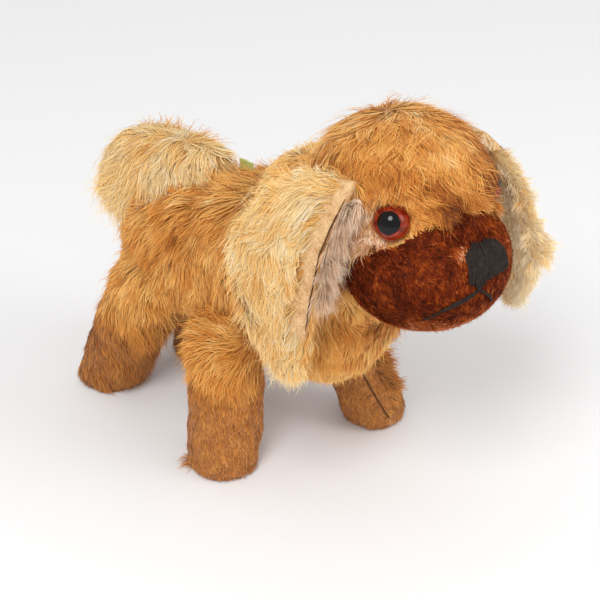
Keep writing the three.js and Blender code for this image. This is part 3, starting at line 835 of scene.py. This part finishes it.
keep = lambda p: ((felt_share(p) > 0.2) & clear_of_eyes(p)).astype(float)
p, n = scatter(head_surface, NAP_HAIRS, keep)
h = to_head(p)
low = ramp(h[:, 2], -24, -42)
rim = ramp(h[:, 0], 2, 24)
bald = np.exp(-((h - [-6, -39.5, -3.5]) ** 2).sum(1) / 4.0 ** 2)  # a worn spot above the nose
# painted light: low and rim paint the nap lighter towards the bottom of the muzzle and towards its left
# side, and the cap below rises there too
tone = 0.21 + 0.1 * wave(h, 12, 55) + 0.08 * wave(h, 5, 57) + 0.6 * low + 0.26 * rim
tone = np.minimum(tone, 0.56 + 0.1 * low) + 0.75 * bald
flow = turned(-REAR + DOWN * 0.6 + swirl(h, 18, 56, 0.8))
fur = strands("nap_muzzle", p, n, flow, 2.4, tone, lift=0.35, width=0.34, segments=2, lock_mm=2.5, pull=0.35,
              messy=0.5, material=NAP, contrast=0.1)
place(fur, "head")


# ---- nose, mouth and eyes -----------------------------------------------------------------------------
def on_muzzle(x, up, high):
    """A point of the muzzle's front at head x and height, raised by high."""
    r = MUZZLE_R + high
    inside = 1 - (x / r[0]) ** 2 - ((up - MUZZLE[2]) / r[2]) ** 2
    return from_head([x, MUZZLE[1] - r[1] * math.sqrt(max(inside, 0)), up])


def laid(pairs, high, steps=10):
    """A thread's path over the muzzle through (x, up) pairs, sunk at both ends."""
    pairs = np.asarray(pairs, float)
    t = np.linspace(0, 1, steps)
    x = np.interp(t, np.linspace(0, 1, len(pairs)), pairs[:, 0])
    up = np.interp(t, np.linspace(0, 1, len(pairs)), pairs[:, 1])
    rise = high * np.sin(np.pi * np.clip(t, 0.04, 0.96)) ** 0.35
    return np.array([on_muzzle(a, b, c) for a, b, c in zip(x, up, rise)])


# the hand-sewn nose sits askew: (x, height) of its upper and lower edge for across from -1 to 1
def nose_top(across):
    return 5.2 + 10.2 * across, -2.2 - 1.5 * across - 3.8 * across ** 4


def nose_bottom(across):
    return 4 + 11 * across, -15.4 - across - 3 * math.exp(-((across + 0.55) / 0.28) ** 2)


stitches = []
for i in range(NOSE_STITCHES):
    across = i / (NOSE_STITCHES - 1) * 2 - 1
    jitter = rng.normal(0, 0.25, 4).reshape(2, 2)
    stitches.append(laid([nose_top(across) + jitter[0], nose_bottom(across) + jitter[1]], 1.5))
nose = threads("nose_stitches", stitches, FACE_THREAD_R, THREAD)
place(nose, "head", ["nose_embroidery"])
# the mouth's threads, as (x, height) pairs
MOUTH = [[(-2, -15.5), (-2.5, -19)], [(-3, -15.5), (-3.2, -19)],
         [(-2.5, -18.4), (-7.5, -19.8), (-12.5, -21.5), (-17.6, -24.6), (-22.5, -30.3)],
         [(-3, -19.2), (-12, -22.2), (-17, -25.2)],
         [(-2.5, -18.4), (1.5, -21.6), (4.5, -25), (6.5, -28.5)], [(-1.6, -18.8), (2.3, -22), (5, -25.4)]]
mouth = threads("mouth_threads", [laid(line, 0.9, 14) for line in MOUTH], FACE_THREAD_R, THREAD)
place(mouth, "head", ["mouth_stitches"])


def lathe(name, profile, centre, axis, material, steps=48):
    """A turned form about an axis, from (radius, height) pairs in mm."""
    a = unit(np.cross(axis, [0.3, 0.2, 1.0]))
    b = np.cross(axis, a)
    turn = np.linspace(0, 2 * math.pi, steps, endpoint=False)
    points = [centre + axis * z + (a * math.cos(t) + b * math.sin(t)) * r for r, z in profile for t in turn]
    return new_object(name, np.array(points), rings(len(profile), steps), material)


def dome(low, high, grow):
    """Profile of a part of the eye's ball between two angles above its middle, grown by grow."""
    r = EYE_R + grow
    return [(r * math.cos(t), r * math.sin(t)) for t in np.linspace(low, high, 20)]


PUPIL_EDGE = math.acos(4.3 / EYE_R)
EYE_SUNK = 0.45  # how far the glass is set back into the head, as a share of its radius
for side, sign in SIDES:
    out = EYE_OUT * (sign, 1, 1)
    centre = from_head(unit(out) * (np.linalg.norm(out) - EYE_R * EYE_SUNK))
    axis = turned(unit(unit(out) + np.array([0.08 * sign, -0.04, 0.26])))
    iris = lathe(f"eye_{side}_ball", dome(-1.45, PUPIL_EDGE, 0.3), centre, axis, IRIS)
    pupil = lathe(f"eye_{side}_black", dome(PUPIL_EDGE - 0.02, 1.54, 0.36), centre, axis, PUPIL)
    place(iris, "head", [f"eye_{side}_iris"])
    place(pupil, "head", [f"eye_{side}_pupil"])

# ---- ears ---------------------------------------------------------------------------------------------
# front edge of each ear in head coordinates, (out, y, z) from the sewn edge to the tip
EAR_FRONT = {
    "right": [(30.1, -7.5, 21.5), (37.2, -5.5, 10), (41, 0, -7), (42, 3, -24), (43, 5.5, -40), (44, 8, -54),
              (44.5, 11, -65)],
    "left": [(30.1, -7.5, 21.5), (40, -13, 9), (45.5, -18, -7), (49, -21, -22), (51, -21.5, -36),
             (51, -19, -48), (50, -14, -57)],
}


def pale_skin(name, body, cad_nodes, replaced, voxel):
    """A smooth skin of pale backing around some CAD nodes, placed; gives its surface."""
    skin = soft_form(name, cad_nodes, voxel)
    relax(skin, FORM_ROUNDS, swell=0.3)
    skin.data.materials.append(PALE_BACKING)
    shade_smooth(skin.data)
    place(skin, body, replaced)
    return surface_of(skin)


for side, sign in SIDES:
    body = f"{side}_ear"
    cad_nodes = [f"ear_{side}_lining", f"ear_{side}_mohair"]
    edge = np.array(EAR_FRONT[side]) * (sign, 1, 1)
    surface = pale_skin(f"ear_{side}_skin", body, cad_nodes, cad_nodes, EAR_VOXEL)

    def from_edge(h):
        """Distance behind the front edge and share of the way down."""
        front = np.stack([np.interp(-h[:, 2], -edge[:, 2], edge[:, k]) for k in range(2)], 1)
        return np.linalg.norm(h[:, :2] - front, axis=1), ramp(h[:, 2], 22, -66)

    def is_outer(hn):
        return hn[:, 0] * sign > 0.1

    p, n = scatter(surface, EAR_HAIRS)
    h, outer = to_head(p), is_outer(unturned(n))
    behind, lower = from_edge(h)
    strip = 7.8 + 1.2 * lower - 10 * ramp(h[:, 2], -44, -58)  # worn behind the seam, where the weave shows
    stay = ~outer | (rng.random(len(p)) < ramp(behind, strip - 1.5, strip + 6))
    p, n, h, behind, lower, outer = (v[stay] for v in (p, n, h, behind, lower, outer))
    fan = ((1 - lower) * np.clip(behind / 24, 0, 1) - 0.45 * lower * ramp(behind, 10, 20)
           + 0.45 * ramp(behind, 16, 8))
    f = DOWN * (0.5 + 0.5 * lower)[:, None] + REAR * fan[:, None]
    f += swirl(h, 24, 71, 0.4) * ramp(behind, 6, 14)[:, None]
    f[~outer] += -0.5 * REAR
    # the left ear's lining is painted lighter than the right's: painted light on a side that lies in shade
    tone = np.where(outer, 0.77, 0.68 if side == "right" else 0.95) + 0.09 * wave(p, 10, 75)
    length = np.where(outer & (side == "right"), 13 + 2 * wave(p, 16, 74), 9)
    if side == "left":
        length = length * (0.45 + 0.55 * ramp(h[:, 2], 16, -24))
    fur = strands(f"pile_ear_{side}", p, n, turned(f), length, tone, lift=0.24, width=0.5, lock_mm=6,
                  pull=0.55, wavy=0.28, material=PALE_PILE)
    place(fur, body)

    # the lining's hair curls out in front of the seam
    def on_rim(p):
        h = to_head(p)
        return ((from_edge(h)[0] < 4.5) & (h[:, 2] < 16) & (h[:, 2] > -31)).astype(float)

    p, n = scatter(surface, FRINGE_HAIRS, on_rim)
    inner = ~is_outer(unturned(n))
    p, n, h = p[inner], n[inner], to_head(p)[inner]
    f = -REAR * 1.3 + DOWN * 0.4 - OUT * 0.3 * sign + swirl(h, 12, 77, 0.3)
    length, tone = 9.5 + 2 * wave(p, 9, 78), 0.9 + 0.08 * wave(p, 8, 79)
    fur = strands(f"fringe_ear_{side}", p, n, turned(f), length, tone, lift=0.25, wavy=0.35,
                  material=ROSY_PILE if side == "right" else PALE_PILE, contrast=0.1)
    place(fur, body)

    # a brown thread seam along the ear's front edge; its dark line also serves as the painted shadow that
    # the edge casts
    points, normals, _, _ = surface
    points = points[is_outer(unturned(normals))]
    seam = seam_along(points, from_edge(to_head(points))[0], HEAD[2] + np.arange(20, -52, -3))
    seam = seam + turned(OUT * 0.4 * sign)
    place(threads(f"ear_{side}_seam", [seam], EAR_THREAD_R, SEAM), body)

# ---- tail ---------------------------------------------------------------------------------------------
surface = pale_skin("tail_skin", "tail", BODIES["tail"], ["tail_upper", "tail_under"], VOXEL)
p, n = scatter(surface, TAIL_HAIRS)
under = ramp(n[:, 2], 0.3, -0.5)
forward = ramp(p[:, 1], 88, 60)[:, None]
sideways = OUT * np.clip(n[:, :1] * 2.5, -1, 1) * ramp(n[:, 2:3], 0.1, 0.8) * 1.4
flow = DOWN + REAR * (0.7 - 1.3 * forward) + sideways + swirl(p, 26, 81, 0.3)
skirt = ramp(np.abs(n[:, 2]), 0.7, 0.2)
shaded_far_side = ramp(p[:, 0], 3, 9) * ramp(n[:, 2], -0.1, 0.4)
middle = ramp(p[:, 1], 50, 66) * ramp(p[:, 1], 98, 84)
length = 12 + 5 * under + (4 + 6 * middle) * skirt + 2 * wave(p, 18, 84) + 3 * shaded_far_side
# painted shade: the top of the tail's far side is painted darker
tone = 0.78 + 0.08 * wave(p, 14, 85) - 0.34 * shaded_far_side
fur = strands("pile_tail", p, n, flow, length, tone, lift=0.26 + 0.2 * shaded_far_side, droop=0.2, width=0.5,
              lock_mm=6, wavy=0.2, material=PALE_PILE)
place(fur, "tail")

# ---- CAD nodes that stay as they are ------------------------------------------------------------------
# material by the first of these words that a node's name holds
LOOKS = [("stuffing", WOOL), ("insole", CARD), ("disc", CARD), ("neck", STEEL), ("shank", STEEL),
         ("sole", WORN), ("ribbon", RIBBON)]
for name, obj in frame["nodes"].items():
    for word, material in LOOKS:
        if word in name:
            for slot in obj.material_slots:
                slot.material = material
            break
